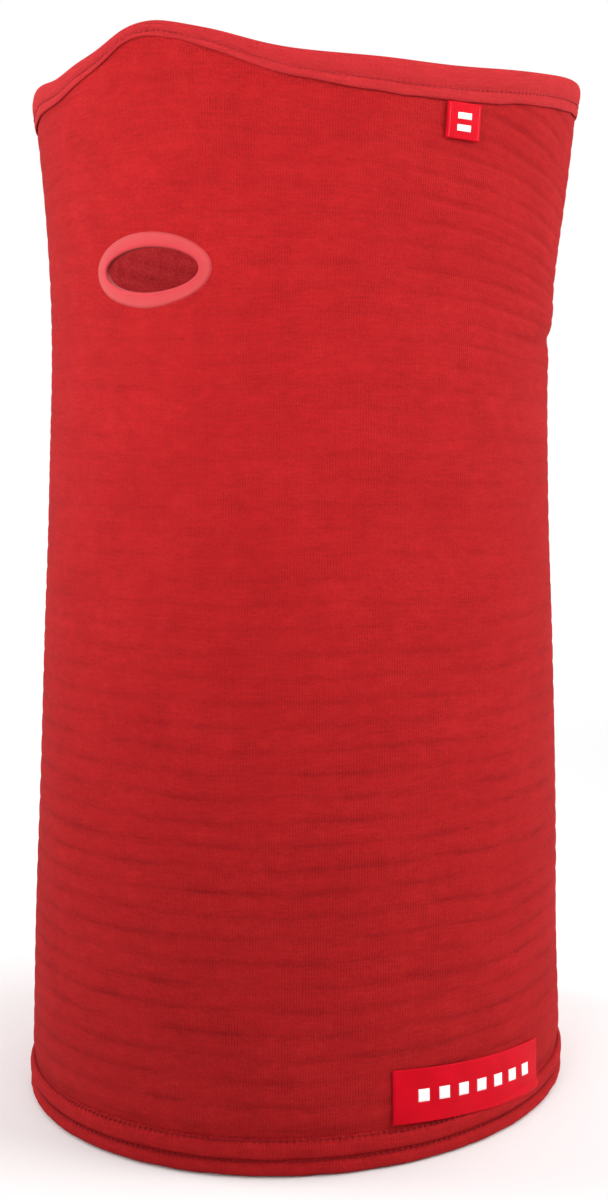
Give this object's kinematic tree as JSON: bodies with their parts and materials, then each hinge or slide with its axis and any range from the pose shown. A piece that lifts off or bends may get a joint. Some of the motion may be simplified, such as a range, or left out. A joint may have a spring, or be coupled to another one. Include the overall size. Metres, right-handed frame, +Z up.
{
  "type": "neck gaiter",
  "caption": "Knitted grid-fleece neck gaiter: a waisted tube with a raised nose peak, bound upper edge, bonded oval breathing hole, stitched hem and sewn labels.",
  "frame": {"origin": "On the plane the hem stands on, in the middle of the gaiter's outer dimensions.", "axes": "+Z up along the tube, -Y the way the wearer faces (nose peak and breathing hole), +X the wearer's left (both outer labels)."},
  "size_m": [0.1678, 0.1907, 0.315],
  "materials": {
    "grid_fleece": "red knitted grid fleece, fine vertical wales and soft crosswise ridges",
    "binding_jersey": "smooth red stretch jersey binding",
    "bonded_tape": "paler red bonded tape, matt",
    "needle_thread": "dark red spun polyester sewing thread",
    "looper_thread": "red textured looper thread",
    "satin_label": "bright red woven satin label",
    "care_satin": "white satin care label, left blank"
  },
  "bodies": {
    "neck_tube": {"knit_tube_panel": "grid_fleece", "hem_upper_needle_thread": "needle_thread", "hem_lower_needle_thread": "needle_thread", "hem_looper_thread": "looper_thread", "hem_label": "satin_label", "nape_seam_cover_thread": "looper_thread", "nape_seam_looper_thread": "looper_thread"},
    "face_edge": {"top_edge_binding": "binding_jersey", "binding_needle_thread": "needle_thread", "binding_looper_thread": "looper_thread", "breathing_hole_ring": "bonded_tape"},
    "top_label": {"top_label_tab": "satin_label"},
    "care_flap": {"care_label": "care_satin"}
  },
  "joints": [
    {"name": "pull_down", "type": "slide", "parent": "neck_tube", "child": "face_edge", "axis": [0, 0, -1], "range_m": [0, 0.12], "deforming": ["knit_tube_panel", "nape_seam_cover_thread", "nape_seam_looper_thread"]},
    {"name": "top_label_flip", "type": "hinge", "parent": "face_edge", "child": "top_label", "pos_m": [0.07379, -0.03834, 0.295], "axis": [-0.4113, -0.9115, 0], "range_deg": [0, 150]},
    {"name": "care_label_turn", "type": "hinge", "parent": "neck_tube", "child": "care_flap", "pos_m": [-0.00006, 0.08382, 0.036], "axis": [0, 0, -1], "range_deg": [0, 152]}
  ]
}
